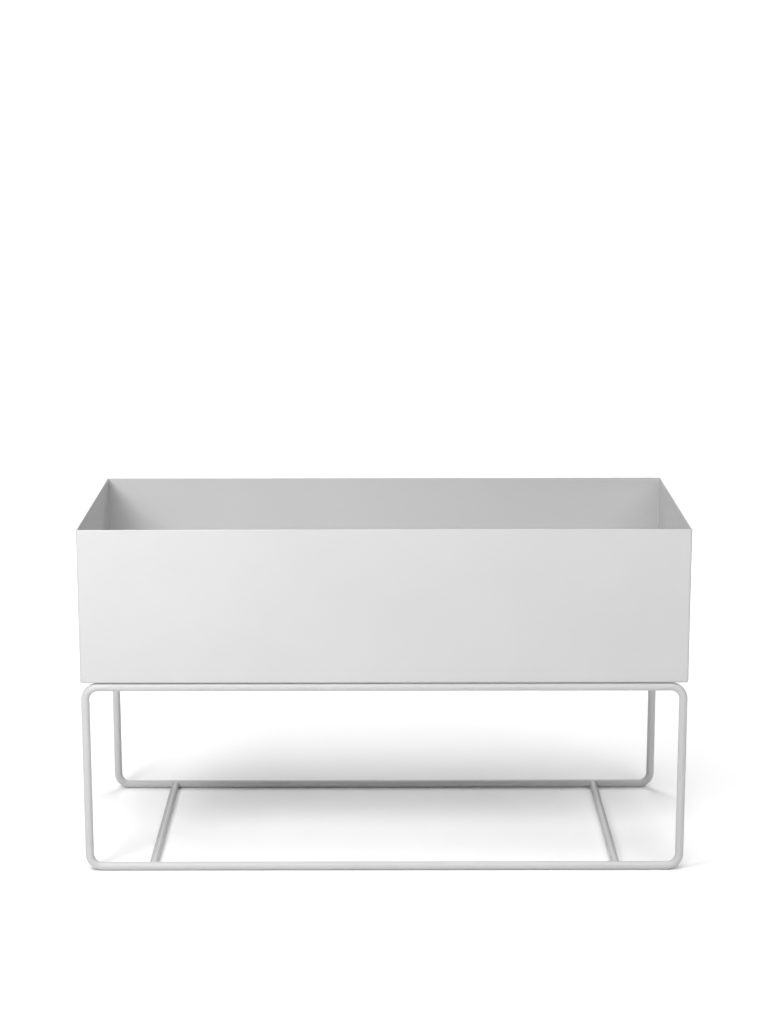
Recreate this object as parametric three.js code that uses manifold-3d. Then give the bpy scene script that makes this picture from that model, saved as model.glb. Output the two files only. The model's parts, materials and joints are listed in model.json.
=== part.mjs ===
// Raised planter on legs: an open sheet-steel tray, fastened to a welded stand of round bar.
// Millimetres, +Z up. The origin is on the floor, under the middle of the tray.
// +X runs along the length and -Y is the front, so left is -X.

import * as THREE from 'three';
import { mergeVertices, toCreasedNormals } from 'three/addons/utils/BufferGeometryUtils.js';
import Module from 'manifold-3d';

const wasm = await Module();
wasm.setup();

// ---- Driving dimensions ----

// The tray is one sheet folded up into four walls, with welded corners.
const trayLength = 800;
const trayDepth = 350;
const trayHeight = 207;
const sheet = 1.5;
const cornerInside = 1; // inside radius of the upright corners
const foldInside = 2; // inside radius of the folds round the base

// The stand is two closed loops of round bar, joined by cross bars.
const standHeight = 260;
const barDiameter = 11;
const bendRadius = 17; // to the bar's centreline
const crossBarInset = 90; // from the end of the tray to a cross bar's axis
const weldGap = 0.3; // root gap that a weld bead fills

// Four tabs on the upper cross bars carry the tray.
const tabWidth = 40; // along the cross bar
const tabReach = 30; // out from the cross bar
const tabThickness = 3;
const tabCorner = 5;
const tabInset = 65; // from the front or back of the tray to a tab's middle
const tabHoleReach = 16; // from the welded edge to the stud
const tabProud = 0.3; // how far a tab stands above the bars

// M6 studs are welded under the tray, so that its base has no holes. Each passes
// through a tab and takes a washer and a locking nut from below.
const studDiameter = 6;
const studLength = 12;
const studFlangeDiameter = 7.5;
const studFlangeThickness = 0.8;
const studTipChamfer = 0.7;
const washerDiameter = 18;
const washerThickness = 1.6;
const nutAcrossFlats = 10;
const nutHeight = 6;
const lockRingDiameter = 8.2;
const lockRingThickness = 1.4;
const lockRingRecess = 0.3; // how deep the ring lies inside the nut's end

// Fits
const seatGap = 0.2; // between faces that bear on each other
const flangeClearance = 0.5; // round a stud's flange, in a tab
const studClearance = 0.3; // round a stud, in a washer
const threadClearance = 0.15; // round a stud, in a nut and its ring
const ringClearance = 0.15; // round a lock ring, in its nut

// Facets
const barSides = 16;
const bendSteps = 6;
const foldSteps = 4;
const tabCornerSteps = 5;
const turnedSides = 24;

// ---- Places worked out from the sizes ----

const barRadius = barDiameter / 2;
const loopPlane = trayDepth / 2 - barRadius;
const lowerBarHeight = barRadius;
const upperBarHeight = standHeight - barRadius;
const crossBarOffset = trayLength / 2 - crossBarInset;
const tabTop = standHeight + tabProud;
const tabBottom = tabTop - tabThickness;
const trayBottom = tabTop + seatGap;
const studTop = trayBottom - weldGap;
const washerBottom = tabBottom - seatGap - washerThickness;
const nutBottom = washerBottom - seatGap - nutHeight;
const lockRingBottom = nutBottom + lockRingRecess;

// A tab's edge is welded to the shoulder of its round cross bar, which is as wide as the
// bar is at the height of the tab's underside.
const tabRise = Math.max(tabBottom - upperBarHeight, 0);
const barShoulder = Math.sqrt(barRadius ** 2 - tabRise ** 2);
const tabEdge = crossBarOffset - barShoulder - weldGap;
const studOffsetX = tabEdge - tabHoleReach;
const studOffsetY = trayDepth / 2 - tabInset;

// ---- Materials ----

const powderCoat = new THREE.MeshStandardMaterial({ color: 0xdddddb, roughness: 0.55, metalness: 0 });
const studSteel = new THREE.MeshStandardMaterial({ color: 0xb4b6b8, roughness: 0.35, metalness: 1 });
const zincPlate = new THREE.MeshStandardMaterial({ color: 0xaab0b4, roughness: 0.4, metalness: 1 });
const nylon = new THREE.MeshStandardMaterial({ color: 0xe8e6de, roughness: 0.5, metalness: 0 });

// ---- Helpers ----

// A closed three.js geometry as a solid that can be joined and cut.
function solidFrom(geometry) {
  geometry.deleteAttribute('normal');
  geometry.deleteAttribute('uv');
  const merged = mergeVertices(geometry);
  return new wasm.Manifold(new wasm.Mesh({
    numProp: 3,
    vertProperties: merged.attributes.position.array,
    triVerts: merged.index.array,
  }));
}

// A solid as a three.js geometry again.
function geometryFrom(solid) {
  const { vertProperties, triVerts } = solid.getMesh();
  const geometry = new THREE.BufferGeometry();
  geometry.setAttribute('position', new THREE.BufferAttribute(vertProperties, 3));
  geometry.setIndex(new THREE.BufferAttribute(triVerts, 1));
  return toCreasedNormals(geometry, Math.PI / 5);
}

// Extrusions run along +Z. These turn one so that it is drawn in XZ or YZ and runs along Y or X.
const alongY = new THREE.Matrix4().makeRotationX(Math.PI / 2);
const alongX = new THREE.Matrix4().makeBasis(
  new THREE.Vector3(0, 1, 0),
  new THREE.Vector3(0, 0, 1),
  new THREE.Vector3(1, 0, 0),
);

// An outline extruded by a length and centred on the plane that it is drawn in.
function centredExtrusion(shape, length, curveSegments, turn) {
  const geometry = new THREE.ExtrudeGeometry(shape, {
    depth: length,
    bevelEnabled: false,
    curveSegments,
  });
  geometry.translate(0, 0, -length / 2);
  geometry.applyMatrix4(turn);
  return geometry;
}

function addMesh(group, name, geometry, material) {
  const mesh = new THREE.Mesh(geometry, material);
  mesh.name = name;
  group.add(mesh);
  return mesh;
}

// ---- Tray ----

// A rectangle whose four corners are rounded.
function roundedRectangle(width, height, radius) {
  const x = width / 2;
  const y = height / 2;
  const shape = new THREE.Shape();
  shape.absarc(x - radius, y - radius, radius, 0, Math.PI / 2);
  shape.absarc(-x + radius, y - radius, radius, Math.PI / 2, Math.PI);
  shape.absarc(-x + radius, -y + radius, radius, Math.PI, Math.PI * 1.5);
  shape.absarc(x - radius, -y + radius, radius, Math.PI * 1.5, Math.PI * 2);
  return shape;
}

// The section across a folded tray: square at the top, rounded where the walls meet the base.
function foldedSection(width, height, radius) {
  const x = width / 2;
  const shape = new THREE.Shape();
  shape.moveTo(x, height);
  shape.lineTo(-x, height);
  shape.absarc(-x + radius, radius, radius, Math.PI, Math.PI * 1.5);
  shape.absarc(x - radius, radius, radius, Math.PI * 1.5, Math.PI * 2);
  return shape;
}

// A block with rounded upright edges and rounded edges round its base, standing on z = 0.
function trayBlock(length, depth, height, cornerRadius, foldRadius) {
  const footprint = new THREE.ExtrudeGeometry(roundedRectangle(length, depth, cornerRadius), {
    depth: height,
    bevelEnabled: false,
    curveSegments: foldSteps,
  });
  const lengthwise = foldedSection(length, height, foldRadius);
  const crosswise = foldedSection(depth, height, foldRadius);
  return solidFrom(footprint)
    .intersect(solidFrom(centredExtrusion(lengthwise, depth * 2, foldSteps, alongY)))
    .intersect(solidFrom(centredExtrusion(crosswise, length * 2, foldSteps, alongX)));
}

function makeTray() {
  const outside = trayBlock(trayLength, trayDepth, trayHeight, cornerInside + sheet, foldInside + sheet);
  const inside = trayBlock(
    trayLength - 2 * sheet,
    trayDepth - 2 * sheet,
    trayHeight,
    cornerInside,
    foldInside,
  );
  return geometryFrom(outside.subtract(inside.translate(0, 0, sheet)));
}

// ---- Stand ----

// The bar's section has a flat on each side, so the flats lie at the bar's true radius.
function barSection(radius) {
  const points = [];
  const cornerReach = radius / Math.cos(Math.PI / barSides);
  for (let i = 0; i < barSides; i += 1) {
    const angle = ((i + 0.5) / barSides) * Math.PI * 2;
    points.push(new THREE.Vector2(cornerReach * Math.cos(angle), cornerReach * Math.sin(angle)));
  }
  return new THREE.Shape(points);
}

// The centreline of a closed loop in the XZ plane, with its rings only where the bar bends:
// each bend has its own evenly turned rings, and a straight runs from one bend to the next.
class LoopPath extends THREE.Curve {
  constructor(width, height, radius) {
    super();
    this.reachX = width / 2 - radius;
    this.reachZ = height / 2 - radius;
    this.radius = radius;
    this.rings = 4 * (bendSteps + 1);
  }

  // Which bend a ring belongs to, and how far the bar has turned there.
  ring(t) {
    const index = Math.round(t * this.rings) % this.rings;
    const bend = Math.floor(index / (bendSteps + 1));
    const step = index % (bendSteps + 1);
    return { bend, angle: (bend + step / bendSteps) * (Math.PI / 2) };
  }

  getPoint(t, target = new THREE.Vector3()) {
    const { bend, angle } = this.ring(t);
    const signX = bend === 0 || bend === 3 ? 1 : -1;
    const signZ = bend < 2 ? 1 : -1;
    return target.set(
      signX * this.reachX + this.radius * Math.cos(angle),
      0,
      signZ * this.reachZ + this.radius * Math.sin(angle),
    );
  }

  getTangent(t, target = new THREE.Vector3()) {
    const { angle } = this.ring(t);
    return target.set(-Math.sin(angle), 0, Math.cos(angle));
  }

  // Rings are spaced by number, not by length along the bar.
  getUtoTmapping(u) {
    return u;
  }
}

// A bar that closes on itself has no ends, so the two lids of the extrusion are dropped.
function makeLoop() {
  const path = new LoopPath(trayLength - barDiameter, standHeight - barDiameter, bendRadius);
  const extrusion = new THREE.ExtrudeGeometry(barSection(barRadius), {
    steps: path.rings,
    extrudePath: path,
  });
  const sides = extrusion.groups[1];
  const positions = extrusion.attributes.position.array;
  const sidePositions = positions.slice(sides.start * 3, (sides.start + sides.count) * 3);
  const geometry = new THREE.BufferGeometry();
  geometry.setAttribute('position', new THREE.BufferAttribute(sidePositions, 3));
  geometry.translate(0, 0, standHeight / 2);
  return toCreasedNormals(geometry, Math.PI / 5);
}

// A cross bar runs from loop to loop, and both ends are coped to the loops' round bars.
function makeCrossBar(height) {
  const bar = centredExtrusion(barSection(barRadius), loopPlane * 2, 1, alongY);
  bar.translate(0, 0, height);
  let solid = solidFrom(bar);
  for (const side of [-1, 1]) {
    const cope = centredExtrusion(barSection(barRadius + weldGap), barDiameter * 2, 1, alongX);
    cope.translate(0, side * loopPlane, height);
    solid = solid.subtract(solidFrom(cope));
  }
  return geometryFrom(solid);
}

// A tab is a plate with two rounded free corners and a hole for the stud's flange. Its
// welded edge is at x = 0 and it reaches along +X.
function makeTab() {
  const halfWidth = tabWidth / 2;
  const shape = new THREE.Shape();
  shape.moveTo(0, halfWidth);
  shape.lineTo(0, -halfWidth);
  shape.absarc(tabReach - tabCorner, -halfWidth + tabCorner, tabCorner, -Math.PI / 2, 0);
  shape.absarc(tabReach - tabCorner, halfWidth - tabCorner, tabCorner, 0, Math.PI / 2);
  const plate = new THREE.ExtrudeGeometry(shape, {
    depth: tabThickness,
    bevelEnabled: false,
    curveSegments: tabCornerSteps,
  });
  const holeRadius = studFlangeDiameter / 2 + flangeClearance;
  const hole = uprightCylinder(holeRadius, tabThickness * 4, turnedSides);
  hole.translate(tabHoleReach, 0, 0);
  return geometryFrom(solidFrom(plate).subtract(solidFrom(hole)));
}

// ---- Fasteners ----

// A cylinder or prism along Z, centred on the origin.
function uprightCylinder(radius, height, sides) {
  const geometry = new THREE.CylinderGeometry(radius, radius, height, sides);
  geometry.rotateX(Math.PI / 2);
  return geometry;
}

// A profile of [radius, height] points, turned about Z.
function turned(profile) {
  const points = profile.map(([radius, height]) => new THREE.Vector2(radius, height));
  const geometry = new THREE.LatheGeometry(points, turnedSides);
  geometry.rotateX(Math.PI / 2);
  return geometry;
}

// A flat ring standing on z = 0.
function ring(innerRadius, outerRadius, thickness) {
  return turned([
    [innerRadius, 0],
    [outerRadius, 0],
    [outerRadius, thickness],
    [innerRadius, thickness],
    [innerRadius, 0],
  ]);
}

// A weld stud hangs from its flange, whose top is at z = 0.
function makeStud() {
  const radius = studDiameter / 2;
  const flangeRadius = studFlangeDiameter / 2;
  return turned([
    [0, -studLength],
    [radius - studTipChamfer, -studLength],
    [radius, -studLength + studTipChamfer],
    [radius, -studFlangeThickness],
    [flangeRadius, -studFlangeThickness],
    [flangeRadius, 0],
    [0, 0],
  ]);
}

// A hex locking nut, with chamfered corners and a recess in its lower end for the lock ring.
function makeNut() {
  const flatReach = nutAcrossFlats / 2;
  const cornerReach = nutAcrossFlats / Math.sqrt(3);
  const beyondCorner = cornerReach * 1.1;
  const chamfer = (beyondCorner - flatReach) * Math.tan(Math.PI / 6);
  const hexagon = uprightCylinder(cornerReach, nutHeight, 6).translate(0, 0, nutHeight / 2);
  const chamfered = turned([
    [0, 0],
    [flatReach, 0],
    [beyondCorner, chamfer],
    [beyondCorner, nutHeight - chamfer],
    [flatReach, nutHeight],
    [0, nutHeight],
  ]);
  const bore = uprightCylinder(studDiameter / 2 + threadClearance, nutHeight * 3, turnedSides);
  const recessRadius = lockRingDiameter / 2 + ringClearance;
  const recessDepth = lockRingRecess + lockRingThickness + seatGap;
  const recess = uprightCylinder(recessRadius, recessDepth * 2, turnedSides);
  return geometryFrom(
    solidFrom(hexagon)
      .intersect(solidFrom(chamfered))
      .subtract(solidFrom(bore))
      .subtract(solidFrom(recess)),
  );
}

// ---- Assembly ----

const planter = new THREE.Group();

const tray = addMesh(planter, 'tray', makeTray(), powderCoat);
tray.position.z = trayBottom;

for (const [name, side] of [['front_loop', -1], ['back_loop', 1]]) {
  const loop = addMesh(planter, name, makeLoop(), powderCoat);
  loop.position.y = side * loopPlane;
}

for (const [level, height] of [['lower', lowerBarHeight], ['upper', upperBarHeight]]) {
  for (const [side, sign] of [['left', -1], ['right', 1]]) {
    const bar = addMesh(planter, `${level}_cross_bar_${side}`, makeCrossBar(height), powderCoat);
    bar.position.x = sign * crossBarOffset;
  }
}

for (const [end, signY] of [['front', -1], ['back', 1]]) {
  for (const [side, signX] of [['left', -1], ['right', 1]]) {
    const place = `${end}_${side}`;
    const x = signX * studOffsetX;
    const y = signY * studOffsetY;

    const tab = addMesh(planter, `mounting_tab_${place}`, makeTab(), powderCoat);
    tab.position.set(signX * tabEdge, y, tabBottom);
    tab.rotation.z = signX > 0 ? Math.PI : 0;

    const stud = addMesh(planter, `weld_stud_${place}`, makeStud(), studSteel);
    stud.position.set(x, y, studTop);

    const washerHole = studDiameter / 2 + studClearance;
    const washerShape = ring(washerHole, washerDiameter / 2, washerThickness);
    const washer = addMesh(planter, `washer_${place}`, washerShape, zincPlate);
    washer.position.set(x, y, washerBottom);

    const nut = addMesh(planter, `lock_nut_${place}`, makeNut(), zincPlate);
    nut.position.set(x, y, nutBottom);

    const ringHole = studDiameter / 2 + threadClearance;
    const ringShape = ring(ringHole, lockRingDiameter / 2, lockRingThickness);
    const lockRing = addMesh(planter, `lock_ring_${place}`, ringShape, nylon);
    lockRing.position.set(x, y, lockRingBottom);
  }
}

export default planter;
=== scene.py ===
# %% [markdown]
# # A raised planter on legs
#
# A long open tray of thin sheet steel sits on a low stand of round bar. Both are powder coated in
# the same light grey. The tray is held from below by four studs, so nothing shows inside it.
#
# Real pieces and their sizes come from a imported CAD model, which is opened here as a fixed frame.
# Blender then gives each piece the surface, the welds and the small roundings that the coat and
# the light show up. A finer piece stands in for its CAD node and never changes its size.

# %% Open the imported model
import json
import math

import bmesh
import bpy
from mathutils import Matrix, Vector


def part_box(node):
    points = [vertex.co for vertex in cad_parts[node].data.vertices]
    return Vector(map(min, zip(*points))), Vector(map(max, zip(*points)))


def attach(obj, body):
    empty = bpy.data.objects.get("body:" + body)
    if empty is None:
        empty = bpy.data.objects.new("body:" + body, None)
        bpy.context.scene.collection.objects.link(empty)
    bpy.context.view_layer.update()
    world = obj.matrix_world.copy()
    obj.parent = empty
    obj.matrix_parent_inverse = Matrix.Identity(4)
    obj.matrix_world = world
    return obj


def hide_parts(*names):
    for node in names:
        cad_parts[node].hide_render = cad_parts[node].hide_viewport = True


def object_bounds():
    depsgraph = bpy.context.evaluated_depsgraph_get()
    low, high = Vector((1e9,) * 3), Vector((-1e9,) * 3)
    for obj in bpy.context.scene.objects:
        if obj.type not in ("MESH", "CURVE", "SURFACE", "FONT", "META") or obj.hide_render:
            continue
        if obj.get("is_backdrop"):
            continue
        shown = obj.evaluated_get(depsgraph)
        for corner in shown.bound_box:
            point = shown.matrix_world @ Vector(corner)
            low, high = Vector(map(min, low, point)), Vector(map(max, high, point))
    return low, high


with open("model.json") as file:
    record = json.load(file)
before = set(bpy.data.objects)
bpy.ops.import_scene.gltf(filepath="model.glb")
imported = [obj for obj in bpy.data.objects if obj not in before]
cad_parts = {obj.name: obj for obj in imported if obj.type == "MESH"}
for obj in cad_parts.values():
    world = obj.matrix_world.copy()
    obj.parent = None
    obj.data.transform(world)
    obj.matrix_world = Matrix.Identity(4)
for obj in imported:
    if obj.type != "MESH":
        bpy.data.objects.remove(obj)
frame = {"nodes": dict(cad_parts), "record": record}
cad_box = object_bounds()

print("nodes:", len(frame["nodes"]), "box:", [tuple(round(c, 4) for c in p) for p in cad_box])

# %% [markdown]
# ## Sizes
#
# Everything is in metres. A helper reads a CAD node's lowest and highest corners, and the
# record's mounts give the inside floor of the tray, so the thickness of the sheet is measured
# rather than typed in.

# %% Read the main sizes
MM = 0.001


def span(node):
    low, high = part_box(node)
    return Vector(low), Vector(high)


def middle(node):
    low, high = span(node)
    return (low + high) / 2


mounts = {mount["name"]: Vector(mount["pos_m"]) for mount in frame["record"]["mounts"]}
tray_low, tray_high = span("tray")
loop_low, loop_high = span("front_loop")
inside_floor = mounts["planting_floor"].z
sheet = inside_floor - tray_low.z
bar_diameter = loop_high.y - loop_low.y
bar_radius = bar_diameter / 2
print("sheet %.2f mm, bar %.2f mm" % (sheet / MM, bar_diameter / MM))

# %% [markdown]
# ## Camera
#
# The camera stands three metres in front of the planter, a little above a person's waist, and
# looks down by twelve degrees with a long lens, which keeps the tray's edges nearly parallel.
# The view transform is the plain one, so a floor that is lit to full white stays pure white.

# %% Place the camera
camera_place = Vector((-0.00188, -3.05037, 1.10006))
camera_down = 0.208713
camera_turn = -0.000612
camera_roll = -0.001333
lens_length = 79.867

camera_data = bpy.data.cameras.new("camera")
camera_data.lens = lens_length
camera_data.sensor_fit = "AUTO"
camera = bpy.data.objects.new("camera", camera_data)
look = Vector((0, math.cos(camera_down), -math.sin(camera_down)))
up = Vector((0, math.sin(camera_down), math.cos(camera_down)))
right = Vector((1, 0, 0))
tilt_right = right * math.cos(camera_roll) + up * math.sin(camera_roll)
tilt_up = up * math.cos(camera_roll) - right * math.sin(camera_roll)
axes = Matrix((tilt_right, tilt_up, -look)).transposed()
aimed = Matrix.Rotation(camera_turn, 3, "Z") @ axes
camera.matrix_world = Matrix.Translation(camera_place) @ aimed.to_4x4()
bpy.context.collection.objects.link(camera)
bpy.context.scene.camera = camera
bpy.context.scene.view_settings.view_transform = "Standard"
print("camera looks down by %.1f degrees" % math.degrees(camera_down))

# %% [markdown]
# ## Two helpers for node trees
#
# Materials and Geometry Nodes are both trees of nodes. `put` adds one node and fills its inputs,
# either with a value or with a link from another node. `calc` is the same for arithmetic.

# %% Helpers for node trees
def put(tree, kind, inputs=None, **settings):
    node = tree.nodes.new(kind)
    for key, value in settings.items():
        setattr(node, key, value)
    for key, value in (inputs or {}).items():
        if isinstance(value, bpy.types.NodeSocket):
            tree.links.new(value, node.inputs[key])
        else:
            node.inputs[key].default_value = value
    return node


def calc(tree, operation, *terms, clamp=False):
    node = put(tree, "ShaderNodeMath", dict(enumerate(terms)), operation=operation)
    node.use_clamp = clamp
    return node.outputs[0]


def remap(tree, value, low, high, new_low, new_high):
    inputs = {"Value": value, 1: low, 2: high, 3: new_low, 4: new_high}
    return put(tree, "ShaderNodeMapRange", inputs).outputs[0]


# %% [markdown]
# ## Powder coat
#
# Powder coat is a plastic powder that is blown on and baked. It flows, but not quite flat: close
# up it has a fine orange peel with waves about a millimetre across, and a finer grain on top.
# The colour is even to within a percent or so, and the gloss is satin.
#
# One function makes the coat for both the tray and the stand, since they are coated together.
# The colour drifts slowly over a hand's breadth, the roughness drifts with a smaller pattern, and
# two bumps give the peel and the grain. Patterns read Object coordinates, which are metres on
# every piece here. The coat pulls thin on the tray's rim, which is rubbed a little darker in
# patches, and it rubs where the bars stand on the floor. The tray's four upright corners are
# painted a shade darker: painted shade where their rounding turns away from the light. The
# stand's tone is a little darker than the tray's, though it is the same coat: painted shade for
# the bars under the tray.

# %% The coat
slot_tones = {m["slot"]: m["base_color"] for m in frame["record"]["materials"]}
peel_scale, peel_height = 620.0, 0.04 * MM
grain_scale, grain_height = 2600.0, 0.01 * MM
drift_scale, satin_scale, wear_scale = 7.0, 55.0, 160.0
smoothest, roughest = 0.44, 0.53
# Painted shade: how much darker the tray's four upright corners are painted.
corner_shade_amount = 0.86


def new_material(name):
    material = bpy.data.materials.new(name)
    material.use_nodes = True
    material.node_tree.nodes.clear()
    shader = put(material.node_tree, "ShaderNodeBsdfPrincipled")
    output = put(material.node_tree, "ShaderNodeOutputMaterial", {"Surface": shader.outputs[0]})
    output.location = (300, 0)
    return material, material.node_tree, shader


def noise(tree, place, scale, detail=2.0, roughness=0.5):
    inputs = {"Vector": place, "Scale": scale, "Detail": detail, "Roughness": roughness}
    return put(tree, "ShaderNodeTexNoise", inputs).outputs[0]


def blend_tones(tree, factor, first, second):
    mixed = put(tree, "ShaderNodeMix", {0: factor}, data_type="RGBA")
    mixed.inputs[6].default_value = (*first, 1)
    mixed.inputs[7].default_value = (*second, 1)
    return mixed


def shaded(tone, amount):
    return [channel * amount for channel in tone]


def corner_shade_mask(tree, place, corner, radius):
    """Where the painted corner shade goes: one on the four upright corners of a box whose outside
    corner is here, zero elsewhere.
    """
    parts = put(tree, "ShaderNodeSeparateXYZ", {0: place}).outputs
    across = remap(tree, calc(tree, "ABSOLUTE", parts[0]), corner.x - radius, corner.x, 0.0, 1.0)
    deep = remap(tree, calc(tree, "ABSOLUTE", parts[1]), corner.y - radius, corner.y, 0.0, 1.0)
    return remap(tree, calc(tree, "MINIMUM", across, deep), 0.0, 0.35, 0.0, 1.0)


def powder_coat(name, tone, wear_low, wear_high, wear_tone, corner=None):
    """wear_low and wear_high are the heights between which rubbed patches fade in."""
    material, tree, shader = new_material(name)
    place = put(tree, "ShaderNodeTexCoord").outputs["Object"]
    height = put(tree, "ShaderNodeSeparateXYZ", {0: place}).outputs[2]
    drift = remap(tree, noise(tree, place, drift_scale, 3.0), 0.3, 0.7, 0.0, 1.0)
    body = blend_tones(tree, drift, shaded(tone, 0.985), shaded(tone, 1.015))
    zone = remap(tree, height, wear_low, wear_high, 0.0, 1.0)
    spots = noise(tree, place, wear_scale, 4.0, 0.65)
    patches = remap(tree, spots, 0.56, 0.66, 0.0, 1.0)
    worn = calc(tree, "MULTIPLY", zone, patches, clamp=True)
    coat = blend_tones(tree, worn, tone, wear_tone)
    tree.links.new(body.outputs[2], coat.inputs[6])
    shown = coat.outputs[2]
    # Painted shade: the tray's four upright corners are painted darker where their rounding turns
    # away from the light.
    if corner:
        mask = corner_shade_mask(tree, place, *corner)
        corner_shaded = blend_tones(tree, mask, tone, shaded(tone, corner_shade_amount))
        tree.links.new(shown, corner_shaded.inputs[6])
        shown = corner_shaded.outputs[2]
    tree.links.new(shown, shader.inputs["Base Color"])
    satin = remap(tree, noise(tree, place, satin_scale), 0.3, 0.7, smoothest, roughest)
    rubbed = calc(tree, "MULTIPLY", worn, -0.1)
    tree.links.new(calc(tree, "ADD", satin, rubbed), shader.inputs["Roughness"])
    peel = noise(tree, place, peel_scale, 1.0)
    grain = noise(tree, place, grain_scale, 2.0, 0.6)
    inputs = {"Strength": 0.2, "Distance": peel_height, "Height": peel}
    under = put(tree, "ShaderNodeBump", inputs)
    inputs = {
        "Strength": 0.2,
        "Distance": grain_height,
        "Height": grain,
        "Normal": under.outputs[0],
    }
    surface = put(tree, "ShaderNodeBump", inputs)
    tree.links.new(surface.outputs[0], shader.inputs["Normal"])
    shader.inputs["IOR"].default_value = 1.5
    shader.inputs["Coat Weight"].default_value = 0.12
    shader.inputs["Coat Roughness"].default_value = 0.3
    return material


corner_outside = 2.5 * MM
rim_wear = 0.7 * MM
foot_wear_top, foot_wear_full = 0.9 * MM, 0.1 * MM
tray_finish = powder_coat(
    "tray_powder_coat",
    slot_tones["tray_coat"],
    tray_high.z - rim_wear,
    tray_high.z,
    shaded(slot_tones["tray_coat"], 0.93),
    # where the painted corner shade goes
    (tray_high, corner_outside),
)
# Painted shade: the stand's tone in the record is a little darker than the tray's, though it is the
# same coat, for the bars under the tray.
stand_finish = powder_coat(
    "stand_powder_coat",
    slot_tones["stand_coat"],
    foot_wear_top,
    foot_wear_full,
    (0.44, 0.44, 0.45),
)
print("coats:", tray_finish.name, stand_finish.name)

# %% [markdown]
# ## Plated steel, stainless steel and nylon
#
# The washers and nuts are zinc plated: bright, faintly blue, with the cloudy bloom that the
# plating bath leaves. The studs are turned stainless steel. Both keep fine tool marks round their
# axis. Those marks follow each turned piece's own UV map, whose second coordinate runs along its
# profile, so each nut and stud has rings round its own middle. The lock rings are milky nylon.

# %% The metals and the nylon
bloom_scale, tool_mark_height = 420.0, 0.02 * MM
milk_scale, skin_scale, skin_height = 500.0, 3000.0, 0.02 * MM


def turned_metal(name, tone, roughness, marks, bloom):
    """marks is how many tool marks lie in a millimetre of profile; bloom is how cloudy it is."""
    material, tree, shader = new_material(name)
    place = put(tree, "ShaderNodeTexCoord").outputs["Object"]
    along = put(tree, "ShaderNodeUVMap", uv_map="UVMap").outputs[0]
    stretched = put(tree, "ShaderNodeMapping", {"Vector": along, "Scale": (0.6, marks, 1.0)})
    rings = noise(tree, stretched.outputs[0], 1.0, 3.0, 0.6)
    cloud = remap(tree, noise(tree, place, bloom_scale, 3.0), 0.35, 0.7, 0.0, 1.0)
    mixed = blend_tones(tree, cloud, tone, shaded(tone, 1 - bloom))
    tree.links.new(mixed.outputs[2], shader.inputs["Base Color"])
    polish = remap(tree, rings, 0.3, 0.7, roughness - 0.06, roughness + 0.08)
    tree.links.new(polish, shader.inputs["Roughness"])
    inputs = {"Strength": 0.4, "Distance": tool_mark_height, "Height": rings}
    groove = put(tree, "ShaderNodeBump", inputs)
    tree.links.new(groove.outputs[0], shader.inputs["Normal"])
    shader.inputs["Metallic"].default_value = 1.0
    return material


def nylon(name, tone):
    material, tree, shader = new_material(name)
    place = put(tree, "ShaderNodeTexCoord").outputs["Object"]
    milk = remap(tree, noise(tree, place, milk_scale), 0.3, 0.7, 0.0, 1.0)
    mixed = blend_tones(tree, milk, shaded(tone, 0.96), shaded(tone, 1.03))
    tree.links.new(mixed.outputs[2], shader.inputs["Base Color"])
    inputs = {"Strength": 0.3, "Distance": skin_height, "Height": noise(tree, place, skin_scale)}
    dimple = put(tree, "ShaderNodeBump", inputs)
    tree.links.new(dimple.outputs[0], shader.inputs["Normal"])
    shader.inputs["Roughness"].default_value = 0.42
    shader.inputs["Subsurface Weight"].default_value = 0.25
    shader.inputs["Subsurface Radius"].default_value = (0.001, 0.001, 0.0008)
    return material


stud_finish = turned_metal("stainless_stud", slot_tones["stud_steel"], 0.26, 60.0, 0.05)
zinc_finish = turned_metal("bright_zinc", slot_tones["zinc_plate"], 0.3, 40.0, 0.16)
nylon_finish = nylon("lock_nylon", slot_tones["lock_nylon"])
print("fastener finishes ready")

# %% [markdown]
# ## The tray
#
# The real tray is one sheet, cut as a cross. Its four walls are folded up on a press, so the
# bottom edge all round is a smooth bend, and the upright corners are welded and ground round. The
# top edge is left as it was cut, with the coat rounding it off.
#
# A box with Solidify and Bevel modifiers would come close, but it can't give the bottom fold and
# the corners different radii. The tray is instead a stack of rings. Each ring is a rounded
# rectangle, and the stack follows the section of the wall: out along the base, round the fold, up,
# over the rim, down the inside and round the inner fold. All rings have the same number of points,
# so the skin between them is quads. A ring just past each bend holds the flat walls flat.

# %% The tray's rings
fold_outside = 3.5 * MM
smallest_corner = 0.2 * MM
rim_rounding = 0.55 * MM
hold = 0.8 * MM
corner_steps = 8
long_cuts = 16
short_cuts = 7
wall_cuts = 6
fold_steps = 8
rim_steps = 4


def straight_run(start, end, cuts):
    """Points between two corners: one close to each end, and cuts - 1 evenly between."""
    length = (end - start).length
    shares = [hold / length, *[cut / cuts for cut in range(1, cuts)], 1 - hold / length]
    return [start.lerp(end, share) for share in shares]


def ring_of_sheet(inset, height):
    """Once round the tray, this far in from its outside faces."""
    radius = max(corner_outside - inset, smallest_corner)
    half_x = tray_high.x - inset - radius
    half_y = tray_high.y - inset - radius
    arcs = []
    for turn, (side_x, side_y) in enumerate(((1, 1), (-1, 1), (-1, -1), (1, -1))):
        centre = Vector((side_x * half_x, side_y * half_y, height))
        angles = [(turn + step / corner_steps) * math.pi / 2 for step in range(corner_steps + 1)]
        arcs.append([centre + radius * Vector((math.cos(a), math.sin(a), 0)) for a in angles])
    ring = []
    for turn, arc in enumerate(arcs):
        following = arcs[(turn + 1) % 4]
        cuts = long_cuts if turn % 2 == 0 else short_cuts
        ring += arc + straight_run(arc[-1], following[0], cuts)
    return ring


def quarter(steps):
    return [step / steps * math.pi / 2 for step in range(steps + 1)]


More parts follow.
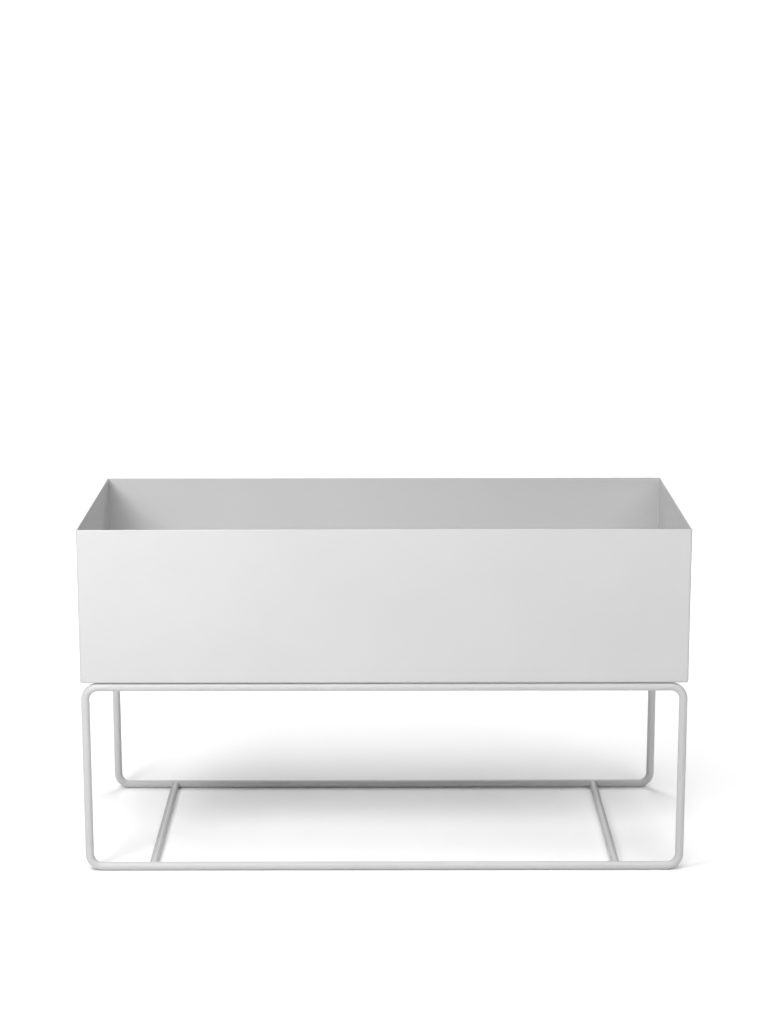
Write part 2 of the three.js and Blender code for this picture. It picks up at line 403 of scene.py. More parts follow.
def wall_section():
    """(inset, height) along the sheet's skin, from the outside of the base to the inside."""
    base, rim = tray_low.z, tray_high.z
    fold_inside = fold_outside - sheet
    section = [(fold_outside + hold, base)]
    for a in quarter(fold_steps):
        outward = fold_outside * (1 - math.sin(a))
        section.append((outward, base + fold_outside * (1 - math.cos(a))))
    low, high = base + fold_outside + hold, rim - rim_rounding - hold
    heights = [low + (high - low) * cut / wall_cuts for cut in range(wall_cuts + 1)]
    section += [(0, height) for height in heights]
    for a in quarter(rim_steps):
        rounding = rim_rounding * (1 - math.cos(a))
        section.append((rounding, rim - rim_rounding * (1 - math.sin(a))))
    for a in quarter(rim_steps):
        rounding = sheet - rim_rounding * (1 - math.sin(a))
        section.append((rounding, rim - rim_rounding * (1 - math.cos(a))))
    section += [(sheet, height) for height in reversed(heights)]
    for a in quarter(fold_steps):
        inward = sheet + fold_inside * (1 - math.cos(a))
        section.append((inward, inside_floor + fold_inside * (1 - math.sin(a))))
    section.append((fold_outside + hold, inside_floor))
    return section


# %% [markdown]
# The rings are joined into one closed skin, and the two flat sides of the base close it. A helper
# turns any bmesh into a finished object: faces pointing out, smooth but for real edges.

# %% Make the tray
def finished(name, mesh_maker, material, sharp_degrees=40):
    bmesh.ops.remove_doubles(mesh_maker, verts=mesh_maker.verts, dist=1e-7)
    bmesh.ops.recalc_face_normals(mesh_maker, faces=mesh_maker.faces)
    mesh = bpy.data.meshes.new(name)
    mesh_maker.to_mesh(mesh)
    mesh_maker.free()
    mesh.materials.append(material)
    mesh.shade_smooth()
    mesh.set_sharp_from_angle(angle=math.radians(sharp_degrees))
    piece = bpy.data.objects.new(name, mesh)
    bpy.context.collection.objects.link(piece)
    return piece


def declare(piece, slot, *nodes):
    """The piece rides on the one body and stands for these CAD nodes; slot is not used."""
    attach(piece, "root")
    if nodes:
        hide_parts(*nodes)
    print(piece.name, len(piece.data.polygons), "faces")


skin = bmesh.new()
rings = [[skin.verts.new(p) for p in ring_of_sheet(*place)] for place in wall_section()]
for first, second in zip(rings, rings[1:]):
    for here in range(len(first)):
        there = (here + 1) % len(first)
        skin.faces.new((first[here], first[there], second[there], second[here]))
skin.faces.new(rings[0])
skin.faces.new(rings[-1])
tray = finished("tray_shell", skin, tray_finish)
declare(tray, "tray_coat", "tray")

# %% [markdown]
# ## Growing pieces with Geometry Nodes
#
# The stand's bars follow a path, and so does every weld. Geometry Nodes suit both: a tree draws
# the path, sweeps a round profile along it, and can be told a new size without being redrawn.
#
# Three helpers set the pattern. `new_tree` starts a tree with named inputs, `close_tree` ends it
# in Realize Instances and Set Material, and `grow` runs it on a handful of points and keeps the
# result as a plain mesh. A modifier's inputs are set by each socket's identifier.

# %% Helpers for Geometry Nodes
FLOAT, WHOLE, VECTOR = "NodeSocketFloat", "NodeSocketInt", "NodeSocketVector"
OBJECT, MATERIAL, GEOMETRY = "NodeSocketObject", "NodeSocketMaterial", "NodeSocketGeometry"


def new_tree(name, sockets):
    tree = bpy.data.node_groups.new(name, "GeometryNodeTree")
    for label, kind in {"Geometry": GEOMETRY, **sockets, "Finish": MATERIAL}.items():
        tree.interface.new_socket(label, in_out="INPUT", socket_type=kind)
    tree.interface.new_socket("Geometry", in_out="OUTPUT", socket_type=GEOMETRY)
    return tree, put(tree, "NodeGroupInput").outputs


def close_tree(tree, geometry, finish):
    realized = put(tree, "GeometryNodeRealizeInstances", {"Geometry": geometry})
    inputs = {"Geometry": realized.outputs[0], "Material": finish}
    painted = put(tree, "GeometryNodeSetMaterial", inputs)
    put(tree, "NodeGroupOutput", {0: painted.outputs[0]})


def grow(name, tree, values, points=((0, 0, 0),), sharp_degrees=40):
    seed_mesh = bpy.data.meshes.new(name + "_points")
    seed_mesh.from_pydata([tuple(p) for p in points], [], [])
    piece = bpy.data.objects.new(name, seed_mesh)
    bpy.context.collection.objects.link(piece)
    modifier = piece.modifiers.new("grow", "NODES")
    modifier.node_group = tree
    for item in tree.interface.items_tree:
        if item.in_out == "INPUT" and item.name in values:
            modifier[item.identifier] = values[item.name]
    grown = piece.evaluated_get(bpy.context.evaluated_depsgraph_get())
    mesh = bpy.data.meshes.new_from_object(grown)
    piece.modifiers.remove(modifier)
    piece.data = mesh
    bpy.data.meshes.remove(seed_mesh)
    mesh.name = name
    mesh.shade_smooth()
    mesh.set_sharp_from_angle(angle=math.radians(sharp_degrees))
    return piece


# %% [markdown]
# ## The front and back loops
#
# Each loop is one length of round bar, bent four times and butt welded into a closed rectangle.
# The tree draws a rectangle on the bar's centreline and rounds its corners to the bend radius.
# Long straight runs are cut into shorter ones, so that the shading of a bend stays in the bend.
# Then a circle is swept round the whole path.

# %% A tree for a bent loop
def bent_loop_tree():
    sockets = {
        "Length": FLOAT,
        "Height": FLOAT,
        "Bar Diameter": FLOAT,
        "Bend Radius": FLOAT,
        "Bend Steps": WHOLE,
        "Straight Cuts": WHOLE,
        "Bar Sides": WHOLE,
        "Place": VECTOR,
    }
    tree, given = new_tree("bent loop of bar", sockets)
    size = {
        "Width": calc(tree, "SUBTRACT", given["Length"], given["Bar Diameter"]),
        "Height": calc(tree, "SUBTRACT", given["Height"], given["Bar Diameter"]),
    }
    outline = put(tree, "GeometryNodeCurvePrimitiveQuadrilateral", size)
    inputs = {
        "Curve": outline.outputs[0],
        "Count": given["Bend Steps"],
        "Radius": given["Bend Radius"],
    }
    bent = put(tree, "GeometryNodeFilletCurve", inputs, mode="POLY")
    along = put(tree, "GeometryNodeSplineParameter").outputs["Length"]
    following = calc(tree, "ADD", put(tree, "GeometryNodeInputIndex").outputs[0], 1)
    inputs = {"Index": following, "Value": along}
    ahead = put(tree, "GeometryNodeFieldAtIndex", inputs).outputs[0]
    run = calc(tree, "ABSOLUTE", calc(tree, "SUBTRACT", ahead, along))
    straight = calc(tree, "GREATER_THAN", run, given["Bend Radius"])
    cuts = calc(tree, "MULTIPLY", straight, given["Straight Cuts"])
    inputs = {"Curve": bent.outputs[0], "Cuts": cuts}
    path = put(tree, "GeometryNodeSubdivideCurve", inputs)
    inputs = {
        "Geometry": path.outputs[0],
        "Translation": given["Place"],
        "Rotation": (math.pi / 2, 0, 0),
    }
    standing = put(tree, "GeometryNodeTransform", inputs)
    radius = calc(tree, "MULTIPLY", given["Bar Diameter"], 0.5)
    inputs = {"Resolution": given["Bar Sides"], "Radius": radius}
    profile = put(tree, "GeometryNodeCurvePrimitiveCircle", inputs)
    inputs = {"Curve": standing.outputs[0], "Profile Curve": profile.outputs[0]}
    bar = put(tree, "GeometryNodeCurveToMesh", inputs)
    close_tree(tree, bar.outputs[0], given["Finish"])
    return tree


# %% Make the two loops
bend_radius = 17 * MM
bar_sides = 32
bend_steps = 14
loop_cuts = 12
loop_tree = bent_loop_tree()
for side in ("front", "back"):
    place = middle(side + "_loop")
    low, high = span(side + "_loop")
    sizes = {
        "Length": high.x - low.x,
        "Height": high.z - low.z,
        "Bar Diameter": bar_diameter,
        "Bend Radius": bend_radius,
        "Bend Steps": bend_steps,
        "Straight Cuts": loop_cuts,
        "Bar Sides": bar_sides,
        "Place": place,
        "Finish": stand_finish,
    }
    loop = grow(side + "_loop_bar", loop_tree, sizes)
    declare(loop, "stand_coat", side + "_loop")

# %% [markdown]
# ## The cross bars
#
# Four short bars join the loops, two on the floor and two under the tray. The end of each is
# coped: cut to a saddle that wraps half round the loop's bar. Where two equal bars meet square,
# that saddle has a simple rule. A point at a distance x from the bar's middle line stops at a
# distance x short of the loop's middle line. The tree sweeps a plain bar between the two middle
# lines and moves its end points back by that rule.

# %% A tree for a coped bar
def coped_bar_tree():
    sockets = {
        "Bar Diameter": FLOAT,
        "Half Span": FLOAT,
        "Bar Sides": WHOLE,
        "Rings": WHOLE,
        "Place": VECTOR,
    }
    tree, given = new_tree("coped cross bar", sockets)
    radius = calc(tree, "MULTIPLY", given["Bar Diameter"], 0.5)
    back = put(tree, "ShaderNodeCombineXYZ", {1: given["Half Span"]}).outputs[0]
    near = calc(tree, "MULTIPLY", given["Half Span"], -1)
    front = put(tree, "ShaderNodeCombineXYZ", {1: near}).outputs[0]
    line = put(tree, "GeometryNodeCurvePrimitiveLine", {"Start": front, "End": back})
    inputs = {"Curve": line.outputs[0], "Count": given["Rings"]}
    path = put(tree, "GeometryNodeResampleCurve", inputs)
    inputs = {"Resolution": given["Bar Sides"], "Radius": radius}
    profile = put(tree, "GeometryNodeCurvePrimitiveCircle", inputs)
    inputs = {
        "Curve": path.outputs[0],
        "Profile Curve": profile.outputs[0],
        "Fill Caps": True,
    }
    bar = put(tree, "GeometryNodeCurveToMesh", inputs)
    here = put(tree, "GeometryNodeInputPosition").outputs[0]
    parts = put(tree, "ShaderNodeSeparateXYZ", {0: here}).outputs
    depth = calc(tree, "ABSOLUTE", parts[1])
    cope = calc(tree, "SUBTRACT", given["Half Span"], calc(tree, "ABSOLUTE", parts[0]))
    stop = calc(tree, "MINIMUM", depth, cope)
    signed = calc(tree, "MULTIPLY", stop, calc(tree, "SIGN", parts[1]))
    moved = put(tree, "ShaderNodeCombineXYZ", {0: parts[0], 1: signed, 2: parts[2]})
    inputs = {"Geometry": bar.outputs[0], "Position": moved.outputs[0]}
    cut = put(tree, "GeometryNodeSetPosition", inputs)
    inputs = {"Geometry": cut.outputs[0], "Translation": given["Place"]}
    placed = put(tree, "GeometryNodeTransform", inputs)
    close_tree(tree, placed.outputs[0], given["Finish"])
    return tree


# %% Make the four cross bars
loop_offset = middle("back_loop").y
cross_bar_rings = 24
bar_tree = coped_bar_tree()
joints = []
for level in ("lower", "upper"):
    for side in ("left", "right"):
        node = level + "_cross_bar_" + side
        place = middle(node)
        sizes = {
            "Bar Diameter": bar_diameter,
            "Half Span": loop_offset,
            "Bar Sides": bar_sides,
            "Rings": cross_bar_rings,
            "Place": place,
            "Finish": stand_finish,
        }
        bar = grow(level + "_" + side + "_coped_bar", bar_tree, sizes)
        declare(bar, "stand_coat", node)
        joints += [place + Vector((0, end * loop_offset, 0)) for end in (-1, 1)]
print("joints between bars:", len(joints))

# %% [markdown]
# ## Welds
#
# A weld laid by hand is a row of small frozen puddles. From outside it is a bead with a ripple
# every couple of millimetres, uneven in size, that fades out at its ends. The coat softens it.
#
# All the beads here share one rule for thickness: a sine ripple along the path, plus a slow
# noise with a fixed seed. The bead round a coped joint follows the saddle line. That line is a
# circle of the bar's radius, moved back at each point by its distance from the middle line, so
# one Set Position node turns a circle into the joint. The crevice is deepest at the bar's two
# sides and closes to nothing above and below, and the bead's thickness follows that.

# %% A rule for a bead's thickness
def rippled(tree, given, taper):
    """A bead's thickness along its path: its ripples, its unevenness and its taper."""
    along = put(tree, "GeometryNodeSplineParameter").outputs["Length"]
    turns = calc(tree, "DIVIDE", along, given["Ripple Pitch"])
    wave = calc(tree, "SINE", calc(tree, "MULTIPLY", turns, 2 * math.pi))
    ripple = calc(tree, "MULTIPLY", wave, given["Ripple Height"])
    inputs = {"W": calc(tree, "ADD", turns, given["Seed"]), "Scale": 0.35, "Detail": 1.0}
    uneven = put(tree, "ShaderNodeTexNoise", inputs, noise_dimensions="1D").outputs[0]
    slow = calc(tree, "MULTIPLY", calc(tree, "SUBTRACT", uneven, 0.5), 0.3)
    whole = calc(tree, "ADD", calc(tree, "ADD", ripple, slow), 1.0)
    return calc(tree, "MULTIPLY", whole, taper)


BEAD_SOCKETS = {
    "Bead Radius": FLOAT,
    "Ripple Pitch": FLOAT,
    "Ripple Height": FLOAT,
    "Bead Sides": WHOLE,
    "Seed": FLOAT,
}


def sweep_bead(tree, given, path, taper):
    inputs = {"Resolution": given["Bead Sides"], "Radius": given["Bead Radius"]}
    profile = put(tree, "GeometryNodeCurvePrimitiveCircle", inputs)
    inputs = {
        "Curve": path,
        "Profile Curve": profile.outputs[0],
        "Scale": rippled(tree, given, taper),
        "Fill Caps": True,
    }
    return put(tree, "GeometryNodeCurveToMesh", inputs).outputs[0]


def saddle_bead_tree():
    sockets = {"Bar Radius": FLOAT, "Path Points": WHOLE, **BEAD_SOCKETS}
    tree, given = new_tree("beads round coped joints", sockets)
    sunk = calc(tree, "MULTIPLY", given["Bar Radius"], 0.98)
    inputs = {"Resolution": given["Path Points"], "Radius": sunk}
    circle = put(tree, "GeometryNodeCurvePrimitiveCircle", inputs)
    here = put(tree, "GeometryNodeInputPosition").outputs[0]
    parts = put(tree, "ShaderNodeSeparateXYZ", {0: here}).outputs
    aside = calc(tree, "ABSOLUTE", parts[0])
    inputs = {0: parts[0], 1: calc(tree, "MULTIPLY", aside, -1), 2: parts[1]}
    saddle = put(tree, "ShaderNodeCombineXYZ", inputs).outputs[0]
    inputs = {"Geometry": circle.outputs[0], "Position": saddle}
    path = put(tree, "GeometryNodeSetPosition", inputs)
    height = calc(tree, "ABSOLUTE", parts[2])
    room = calc(tree, "SUBTRACT", given["Bar Radius"], height)
    share = calc(tree, "DIVIDE", room, given["Bead Radius"])
    taper = remap(tree, share, 0.06, 1.3, 0.03, 1.0)
    bead = sweep_bead(tree, given, path.outputs[0], taper)
    depth = put(tree, "ShaderNodeSeparateXYZ", {0: here}).outputs[1]
    at_front = calc(tree, "LESS_THAN", depth, 0.0)
    turn = put(tree, "ShaderNodeCombineXYZ", {2: calc(tree, "MULTIPLY", at_front, math.pi)})
    inputs = {"Points": given["Geometry"], "Instance": bead, "Rotation": turn.outputs[0]}
    beads = put(tree, "GeometryNodeInstanceOnPoints", inputs)
    close_tree(tree, beads.outputs[0], given["Finish"])
    return tree


# %% Weld the bars together
sizes = {
    "Bar Radius": bar_radius,
    "Path Points": 192,
    "Bead Radius": 1.5 * MM,
    "Ripple Pitch": 1.2 * MM,
    "Ripple Height": 0.05,
    "Bead Sides": 12,
    "Seed": 3.0,
    "Finish": stand_finish,
}
bar_welds = grow("bar_welds", saddle_bead_tree(), sizes, joints)
declare(bar_welds, "stand_coat")

# %% [markdown]
# ## Welds in the tray's corners
#
# Outside, each upright corner is ground smooth. Inside, the bead stays as it was laid and shows
# as a thin raised line. It stops a few millimetres below the rim, where a small notch is left.
# The tree draws a straight path and tapers it at both ends. It is also used under the tray, where
# each mounting tab meets its bar.

# %% A tree for straight beads
def straight_bead_tree():
    sockets = {"Path": VECTOR, "Path Points": WHOLE, "End Taper": FLOAT, **BEAD_SOCKETS}
    tree, given = new_tree("straight beads", sockets)
    line = put(tree, "GeometryNodeCurvePrimitiveLine", {"End": given["Path"]})
    inputs = {"Curve": line.outputs[0], "Count": given["Path Points"]}
    path = put(tree, "GeometryNodeResampleCurve", inputs)
    share = put(tree, "GeometryNodeSplineParameter").outputs["Factor"]
    left = calc(tree, "SUBTRACT", 1.0, share)
    nearest = calc(tree, "DIVIDE", calc(tree, "MINIMUM", share, left), given["End Taper"])
    taper = calc(tree, "POWER", calc(tree, "ADD", nearest, 0.02, clamp=True), 0.5)
    bead = sweep_bead(tree, given, path.outputs[0], taper)
    inputs = {"Points": given["Geometry"], "Instance": bead}
    beads = put(tree, "GeometryNodeInstanceOnPoints", inputs)
    close_tree(tree, beads.outputs[0], given["Finish"])
    return tree


# %% Weld the tray's corners
bead_tree = straight_bead_tree()
weld_stop = 3.5 * MM
weld_start = 0.6 * MM
corner_weld_foot = inside_floor + weld_start
corner_weld_length = tray_high.z - weld_stop - corner_weld_foot
bead_inset = 0.45 * MM
corner_x = tray_high.x - sheet - bead_inset
corner_y = tray_high.y - sheet - bead_inset
corners = [(x, y, corner_weld_foot) for x in (-corner_x, corner_x) for y in (-corner_y, corner_y)]
sizes = {
    "Path": (0.0, 0.0, corner_weld_length),
    "Path Points": 420,
    "End Taper": 0.012,
    "Bead Radius": 1.4 * MM,
    "Ripple Pitch": 2.4 * MM,
    "Ripple Height": 0.05,
    "Bead Sides": 12,
    "Seed": 11.0,
    "Finish": tray_finish,
}
corner_welds = grow("tray_corner_welds", bead_tree, sizes, corners)
declare(corner_welds, "tray_coat")

# %% [markdown]
# ## The mounting tabs
#
# A tab is a small plate, cut from 3 mm strip and drilled for the stud. Two of its corners are
# rounded, and its square edge is welded to the upper cross bar. It is drawn here as an outline
# with a hole, given its thickness, and every edge is softened by a small bevel, as the coat does.

# %% Make the tabs
tab_corner = 5 * MM
tab_corner_steps = 8
tab_edge_bevel = 0.35 * MM
hole_clearance = 0.5 * MM
hole_sides = 48
stud_flange = 7.5 * MM
tab_hole = stud_flange / 2 + hole_clearance
tab_weld_margin = 3 * MM


def tab_outline(welded_x, free_x, low_y, high_y):
    """The welded edge is square and the free corners are round."""
    inward = 1 if free_x > welded_x else -1
    points = [Vector((welded_x, low_y, 0))]
    for centre_y, start in ((low_y + tab_corner, -90), (high_y - tab_corner, 0)):
        centre = Vector((free_x - inward * tab_corner, centre_y, 0))
        for step in range(tab_corner_steps + 1):
            angle = math.radians(start + step * 90 / tab_corner_steps)
            reach = Vector((inward * math.cos(angle), math.sin(angle), 0))
            points.append(centre + tab_corner * reach)
    return points + [Vector((welded_x, high_y, 0))]


def drilled_plate(outline, hole_centre, hole_radius, low_z, high_z):
    plate = bmesh.new()
    edges = []
    hole = []
    for step in range(hole_sides):
        angle = step / hole_sides * 2 * math.pi
        hole.append(hole_centre + hole_radius * Vector((math.cos(angle), math.sin(angle), 0)))
    for loop in (outline, hole):
        verts = [plate.verts.new((p.x, p.y, low_z)) for p in loop]
        edges += [plate.edges.new((v, verts[i - 1])) for i, v in enumerate(verts)]
    bmesh.ops.triangle_fill(plate, use_beauty=True, use_dissolve=False, edges=edges)
    bmesh.ops.dissolve_limit(
        plate, angle_limit=0.01, verts=plate.verts, edges=plate.edges, delimit={"NORMAL"}
    )
    thick = bmesh.ops.extrude_face_region(plate, geom=plate.faces[:])
    raised = [v for v in thick["geom"] if isinstance(v, bmesh.types.BMVert)]
    bmesh.ops.translate(plate, verts=raised, vec=(0, 0, high_z - low_z))
    bmesh.ops.recalc_face_normals(plate, faces=plate.faces)
    sharp = [e for e in plate.edges if len(e.link_faces) == 2 and e.calc_face_angle() > 1.2]
    bmesh.ops.bevel(
        plate, geom=sharp, offset=tab_edge_bevel, segments=3, profile=0.5, affect="EDGES"
    )
    return plate


studs = []
tab_edges = []
for depth in ("front", "back"):
    for side in ("left", "right"):
        place = depth + "_" + side
        low, high = span("mounting_tab_" + place)
        outward = low.x if side == "left" else high.x
        inward = high.x if side == "left" else low.x
        stud = middle("weld_stud_" + place)
        outline = tab_outline(outward, inward, low.y, high.y)
        plate = drilled_plate(outline, Vector((stud.x, stud.y, 0)), tab_hole, low.z, high.z)
        tab = finished(place + "_tab_plate", plate, stand_finish, 30)
        declare(tab, "stand_coat", "mounting_tab_" + place)
        studs.append(Vector((stud.x, stud.y, 0)))
        tab_edges.append(Vector((outward, low.y + tab_weld_margin, low.z)))
print("tabs at", [tuple(round(c / MM) for c in s.xy) for s in studs], "mm")

# %% Weld the tabs to their bars
tab_low, tab_high = span("mounting_tab_front_left")
sizes = {
    "Path": (0.0, tab_high.y - tab_low.y - 2 * tab_weld_margin, 0.0),
    "Path Points": 110,
    "End Taper": 0.06,
    "Bead Radius": 1.6 * MM,
    "Ripple Pitch": 2.0 * MM,
    "Ripple Height": 0.08,
    "Bead Sides": 14,
    "Seed": 5.0,
    "Finish": stand_finish,
}
tab_welds = grow("tab_welds", bead_tree, sizes, tab_edges)
declare(tab_welds, "stand_coat")

# %% [markdown]
# ## The fasteners under the tray
#
# Four studs are welded to the underside of the base, so the tray has no holes. Each passes
# through its tab and takes a washer and a lock nut, whose nylon ring grips the thread.
#
# All of these are turned or rolled shapes, so one function makes them: it spins a section round
# the upright axis. A rule may change the radius with the angle and the height. That rule cuts
# the six flats of a nut, with the curved edges that its chamfer leaves, and the helix of a thread.

# %% A function for turned shapes
def spun(name, section, sides, rule=None):
    """section is a list of (radius, height); a closed section comes back to its start."""
    maker = bmesh.new()
    wrap = maker.loops.layers.uv.new("UVMap")
    travelled = [0.0]
    for (r0, z0), (r1, z1) in zip(section, section[1:]):
        travelled.append(travelled[-1] + math.hypot(r1 - r0, z1 - z0) / MM)
    rows = []
    for radius, height in section:
        row = []
        for step in range(sides):
            angle = step / sides * 2 * math.pi
            reach = rule(radius, height, angle) if rule else radius
            row.append(maker.verts.new((reach * math.cos(angle), reach * math.sin(angle), height)))
        rows.append(row)
    for i, (first, second) in enumerate(zip(rows, rows[1:])):
        for step in range(sides):
            after = (step + 1) % sides
            face = maker.faces.new((first[step], first[after], second[after], second[step]))
            ends = ((step, i), (step + 1, i), (step + 1, i + 1), (step, i + 1))
            for corner, (turn, row) in zip(face.loops, ends):
                corner[wrap].uv = (turn / sides * 6, travelled[row])
    return maker


def section_of_ring(inner, outer, low, high, bevel):
    """A flat ring's section with its four edges broken by a small chamfer."""
    return [
        (inner, low + bevel),
        (inner + bevel, low),
        (outer - bevel, low),
        (outer, low + bevel),
        (outer, high - bevel),
        (outer - bevel, high),
        (inner + bevel, high),
        (inner, high - bevel),
        (inner, low + bevel),
    ]


# %% [markdown]
# The thread is a 6 mm coarse one: its crest climbs 1 mm per turn. A real thread has flats on its
# crest and root, which come here from clipping a triangle wave. It runs out towards the flange.

# %% Shape one of each fastener
stud_low, stud_high = span("weld_stud_front_left")
washer_low, washer_high = span("washer_front_left")
nut_low, nut_high = span("lock_nut_front_left")
ring_low, ring_high = span("lock_ring_front_left")
thread_radius = 3 * MM
thread_pitch = 1 * MM
thread_depth = 0.55 * MM
thread_steps = 84
flange_radius = (stud_high.x - stud_low.x) / 2
flange_height = 0.8 * MM
tip_chamfer = 0.7 * MM
across_flats = nut_high.y - nut_low.y
across_corners = nut_high.x - nut_low.x
if across_corners < across_flats:
    across_flats, across_corners = across_corners, across_flats


def threaded(radius, height, angle):
    thread_top = stud_high.z - flange_height
    if radius < thread_radius * 0.9 or height > thread_top - 0.4 * MM:
        return radius
    climb = (height / thread_pitch - angle / (2 * math.pi)) % 1
    flank = min(max(abs(climb * 2 - 1) * 1.5 - 0.2, 0.0), 1.0)
    run_out = min((thread_top - height) / (1.2 * MM), 1.0)
    return radius - thread_depth * flank * run_out


def stud_section():
    low, high = stud_low.z, stud_high.z
    neck = high - flange_height
    section = [(0, low), (thread_radius - tip_chamfer, low)]
    start = low + tip_chamfer
    for step in range(thread_steps + 1):
        section.append((thread_radius, start + (neck - start) * step / thread_steps))
    rounding = 0.15 * MM
    section += [(flange_radius - rounding, neck), (flange_radius, neck + rounding)]
    section += [(flange_radius, high - rounding), (flange_radius - rounding, high), (0, high)]
    return section


def six_flats(radius, height, angle):
    """Clips a radius to the hexagon, and leaves smaller radii round."""
    from_flat = (angle + math.pi / 6) % (math.pi / 3) - math.pi / 6
    return min(radius, across_flats / 2 / math.cos(from_flat))


def nut_section():
    """From the bore's bottom, out under the collar, up the flats and back down the bore."""
    low, high = nut_low.z, nut_high.z
    bore = thread_radius + 0.15 * MM
    corner = across_corners / 2
    pocket = 4.25 * MM
    pocket_depth = 1.9 * MM
    return [
        (bore, low + pocket_depth),
        (pocket, low + pocket_depth),
        (pocket, low + 0.35 * MM),
        (pocket + 0.05 * MM, low + 0.1 * MM),
        (pocket + 0.2 * MM, low),
        (pocket + 0.4 * MM, low + 0.15 * MM),
        (pocket + 0.55 * MM, low + 0.5 * MM),
        (pocket + 0.6 * MM, low + 1.3 * MM),
        (pocket + 0.72 * MM, low + 1.65 * MM),
        (across_flats / 2, low + 1.8 * MM),
        (corner, low + 2.3 * MM),
        (corner, low + 3.2 * MM),
        (corner, high - 0.75 * MM),
        (across_flats / 2 - 0.05 * MM, high - 0.2 * MM),
        (across_flats / 2 - 0.15 * MM, high),
        (bore + 0.4 * MM, high),
        (bore, high - 0.4 * MM),
        (bore, low + pocket_depth),
    ]


washer_hole = thread_radius + 0.3 * MM
washer_radius = (washer_high.x - washer_low.x) / 2
ring_radius = (ring_high.x - ring_low.x) / 2
ring_hole = thread_radius + 0.15 * MM
broken_edge = 0.2 * MM
washer = section_of_ring(washer_hole, washer_radius, washer_low.z, washer_high.z, broken_edge)
ring = section_of_ring(ring_hole, ring_radius, ring_low.z, ring_high.z, broken_edge)
shapes = {
    "weld_stud": (stud_section(), 48, threaded),
    "washer": (washer, 72, None),
    "lock_nut": (nut_section(), 72, six_flats),
    "lock_ring": (ring, 48, None),
}
print("nut %.2f mm across flats" % (across_flats / MM))

# %% [markdown]
# One of each is made, then Geometry Nodes set it at the four studs. No two nuts are tightened to
# the same angle, so the tree turns each copy by a random angle with a fixed seed.

# %% A tree that sets fasteners in place
def set_at_points_tree():
    tree, given = new_tree("set at the studs", {"Shape": OBJECT, "Seed": WHOLE})
    shape = put(tree, "GeometryNodeObjectInfo", {"Object": given["Shape"]})
    inputs = {0: (0.0, 0.0, 0.0), 1: (0.0, 0.0, 2 * math.pi), "Seed": given["Seed"]}
    turn = put(tree, "FunctionNodeRandomValue", inputs, data_type="FLOAT_VECTOR")
    inputs = {
        "Points": given["Geometry"],
        "Instance": shape.outputs["Geometry"],
        "Rotation": turn.outputs[0],
    }
    copies = put(tree, "GeometryNodeInstanceOnPoints", inputs)
    close_tree(tree, copies.outputs[0], given["Finish"])
    return tree


# %% Set the fasteners
set_tree = set_at_points_tree()
corners_of_tray = ("front_left", "front_right", "back_left", "back_right")
fastener_finish = {
    "weld_stud": (stud_finish, "stud_steel"),
    "washer": (zinc_finish, "zinc_plate"),
    "lock_nut": (zinc_finish, "zinc_plate"),
    "lock_ring": (nylon_finish, "lock_nylon"),
}
for seed, (kind, (finish, slot)) in enumerate(fastener_finish.items()):
    section, sides, rule = shapes[kind]
    sample = finished(kind + "_shape", spun(kind, section, sides, rule), finish)
    values = {"Shape": sample, "Seed": seed, "Finish": finish}
    four = grow(kind + "s", set_tree, values, studs, 30)
    bpy.data.objects.remove(sample)
    declare(four, slot, *[kind + "_" + corner for corner in corners_of_tray])

# %% [markdown]
# ## Floor, world and lights
#
# The floor is a plain white sheet that runs past the edge of the view. The light is a soft white
# studio. A sun lamp with a wide angle acts as a huge softbox at any distance. The list gives each
# one's turn from the front, its rise above the floor and its breadth, in degrees. Five softboxes
# stand near. The one close by at the left makes the front fade gently to the right. The backdrop
# is white to the camera and gives no light of its own. Well away from the planter the floor glows
# a little, so it stays white and meets the backdrop without a line.

# %% The floor
floor_reach = 40.0
glow_start, glow_full, glow_strength = 0.9, 2.4, 0.5
floor_maker = bmesh.new()
bmesh.ops.create_grid(floor_maker, x_segments=1, y_segments=1, size=floor_reach)
floor_material, floor_nodes, floor_shader = new_material("white_floor")
floor_shader.inputs["Base Color"].default_value = (0.9, 0.9, 0.9, 1)
floor_shader.inputs["Roughness"].default_value = 0.9
floor_shader.inputs["Specular IOR Level"].default_value = 0.1
floor_shader.inputs["Emission Color"].default_value = (1, 1, 1, 1)
spot = put(floor_nodes, "ShaderNodeTexCoord").outputs["Object"]
away = put(floor_nodes, "ShaderNodeVectorMath", {0: spot}, operation="LENGTH").outputs["Value"]
glow = remap(floor_nodes, away, glow_start, glow_full, 0.0, glow_strength)
floor_nodes.links.new(glow, floor_shader.inputs["Emission Strength"])
floor = finished("floor", floor_maker, floor_material)
if floor.data.polygons[0].normal.z < 0:
    floor.data.flip_normals()
floor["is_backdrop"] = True
print("floor reaches %.0f m each way" % floor_reach)

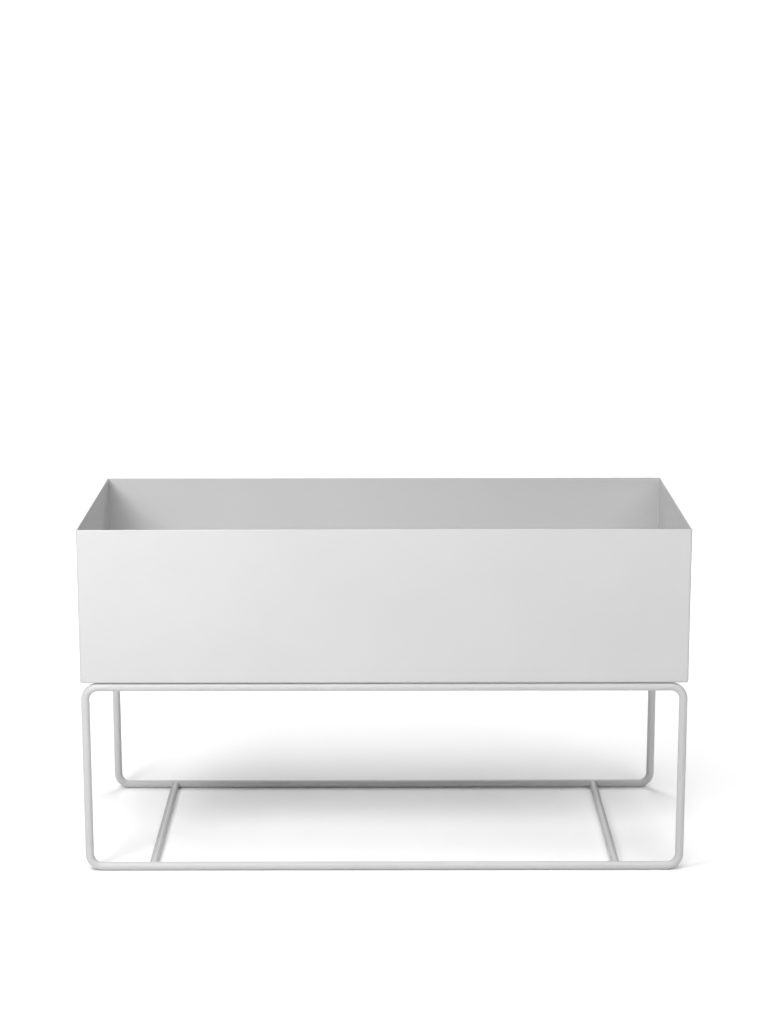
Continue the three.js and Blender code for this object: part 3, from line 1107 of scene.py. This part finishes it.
# %% The lights
suns = {
    "overhead": (0, 90, 15, 0.21),
    "high_front": (0, 75, 25, 1.0),
    "high_front_left": (-20, 50, 25, 0.43),
    "high_front_right": (20, 50, 25, 0.43),
    "low_front_left": (-25, 25, 40, 0.48),
    "right": (90, 55, 30, 0.13),
}
softboxes = {
    "behind": ((0.0, 1.5, 1.4), 1.2, 20.6),
    "near_left": ((-0.8, -0.9, 1.0), 0.4, 7.9),
    "near_right": ((1.2, -1.0, 1.4), 0.8, 5.0),
    "front": ((0.0, -1.6, 1.6), 1.0, 2.4),
    "over_left": ((-0.7, 0.0, 1.2), 0.5, 2.2),
}
aim = Vector((0, 0, 0.3))


def add_lamp(name, kind, towards, strength):
    """towards points from the planter to the lamp."""
    lamp_data = bpy.data.lights.new(name, kind)
    lamp_data.energy = strength
    lamp = bpy.data.objects.new(name, lamp_data)
    lamp.rotation_mode = "QUATERNION"
    lamp.rotation_quaternion = towards.to_track_quat("Z", "Y")
    lamp.location = aim + towards
    lamp.visible_camera = False
    bpy.context.collection.objects.link(lamp)
    return lamp_data


for name, (turn, rise, breadth, strength) in suns.items():
    turn, rise = math.radians(turn), math.radians(rise)
    level = math.cos(rise)
    towards = Vector((math.sin(turn) * level, -math.cos(turn) * level, math.sin(rise)))
    add_lamp(name, "SUN", towards, strength).angle = math.radians(breadth)
for name, (place, width, power) in softboxes.items():
    lamp_data = add_lamp(name, "AREA", Vector(place) - aim, power)
    lamp_data.shape = "DISK"
    lamp_data.size = width

world = bpy.data.worlds.new("studio")
bpy.context.scene.world = world
world.use_nodes = True
world.node_tree.nodes.clear()
backdrop = put(world.node_tree, "ShaderNodeBackground", {"Strength": 1.2})
backdrop.inputs["Color"].default_value = (1, 1, 1, 1)
dark = put(world.node_tree, "ShaderNodeBackground", {"Strength": 0.0})
straight_seen = put(world.node_tree, "ShaderNodeLightPath").outputs["Is Camera Ray"]
inputs = {0: straight_seen, 1: dark.outputs[0], 2: backdrop.outputs[0]}
sky = put(world.node_tree, "ShaderNodeMixShader", inputs)
put(world.node_tree, "ShaderNodeOutputWorld", {"Surface": sky.outputs[0]})
print("lights:", list(suns) + list(softboxes))

# %% [markdown]
# ## The sizes of both boxes
#
# The finer pieces have to fill the same box as the CAD model. Both boxes are printed, so
# they can be compared after each change.

# %% Print both boxes
visual_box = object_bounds()
boxes = {
    "cad": [list(corner) for corner in cad_box],
    "visual": [list(corner) for corner in visual_box],
}
for name, (low, high) in boxes.items():
    print(name, "size, mm:", [round((b - a) / MM, 2) for a, b in zip(low, high)])
